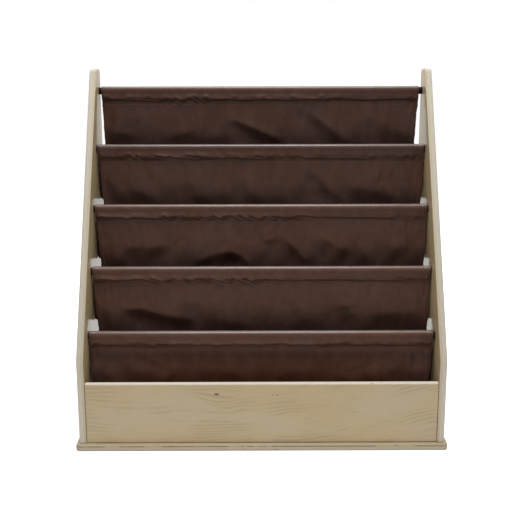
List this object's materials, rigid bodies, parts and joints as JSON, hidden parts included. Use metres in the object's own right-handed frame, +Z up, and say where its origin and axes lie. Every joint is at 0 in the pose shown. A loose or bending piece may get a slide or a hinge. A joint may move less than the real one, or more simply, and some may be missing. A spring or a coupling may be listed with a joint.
{
  "type": "sling bookshelf",
  "caption": "Child's sling bookshelf: sloping birch plywood sides on a base, a front bin board, and a brown cloth sling over black rods that forms open book pockets.",
  "frame": {"origin": "middle of the base's underside, on the floor", "axes": "+Z up, the front faces -Y, +X to the viewer's right as the front is faced"},
  "size_m": [0.776, 0.367, 0.772],
  "materials": {
    "side_ply": "satin clear lacquer on birch plywood",
    "front_ply": "satin clear lacquer on birch plywood",
    "base_ply": "satin clear lacquer on birch plywood",
    "dowel_beech": "plain beech",
    "rod_black": "satin black paint",
    "bolt_steel": "zinc plated",
    "screw_steel": "zinc plated",
    "sling_cloth": "smooth dark brown cloth with a slight sheen"
  },
  "bodies": {
    "root": {"base_panel": "base_ply", "front_panel": "front_ply", "left_side": "side_ply", "right_side": "side_ply", "front_screw_left_1": "screw_steel", "front_screw_left_2": "screw_steel", "front_dowel_left_1": "dowel_beech", "front_screw_right_1": "screw_steel", "front_screw_right_2": "screw_steel", "front_dowel_right_1": "dowel_beech", "base_screw_1": "screw_steel", "base_screw_2": "screw_steel", "base_screw_3": "screw_steel", "base_screw_4": "screw_steel", "base_screw_5": "screw_steel", "base_screw_6": "screw_steel", "base_screw_7": "screw_steel", "base_screw_8": "screw_steel", "base_screw_9": "screw_steel", "base_dowel_1": "dowel_beech", "base_dowel_2": "dowel_beech", "base_dowel_3": "dowel_beech", "base_dowel_4": "dowel_beech", "rod_1": "rod_black", "rod_bolt_left_1": "bolt_steel", "rod_bolt_right_1": "bolt_steel", "sling_sleeve_1": "sling_cloth", "rod_2": "rod_black", "rod_bolt_left_2": "bolt_steel", "rod_bolt_right_2": "bolt_steel", "sling_sleeve_2": "sling_cloth", "rod_3": "rod_black", "rod_bolt_left_3": "bolt_steel", "rod_bolt_right_3": "bolt_steel", "sling_sleeve_3": "sling_cloth", "rod_4": "rod_black", "rod_bolt_left_4": "bolt_steel", "rod_bolt_right_4": "bolt_steel", "sling_sleeve_4": "sling_cloth", "rod_5": "rod_black", "rod_bolt_left_5": "bolt_steel", "rod_bolt_right_5": "bolt_steel", "sling_sleeve_5": "sling_cloth", "rod_6": "rod_black", "rod_bolt_left_6": "bolt_steel", "rod_bolt_right_6": "bolt_steel", "sling_sleeve_6": "sling_cloth", "sling_pocket_1": "sling_cloth", "sling_pocket_2": "sling_cloth", "sling_pocket_3": "sling_cloth", "sling_pocket_4": "sling_cloth", "sling_bin_back": "sling_cloth"}
  },
  "joints": []
}
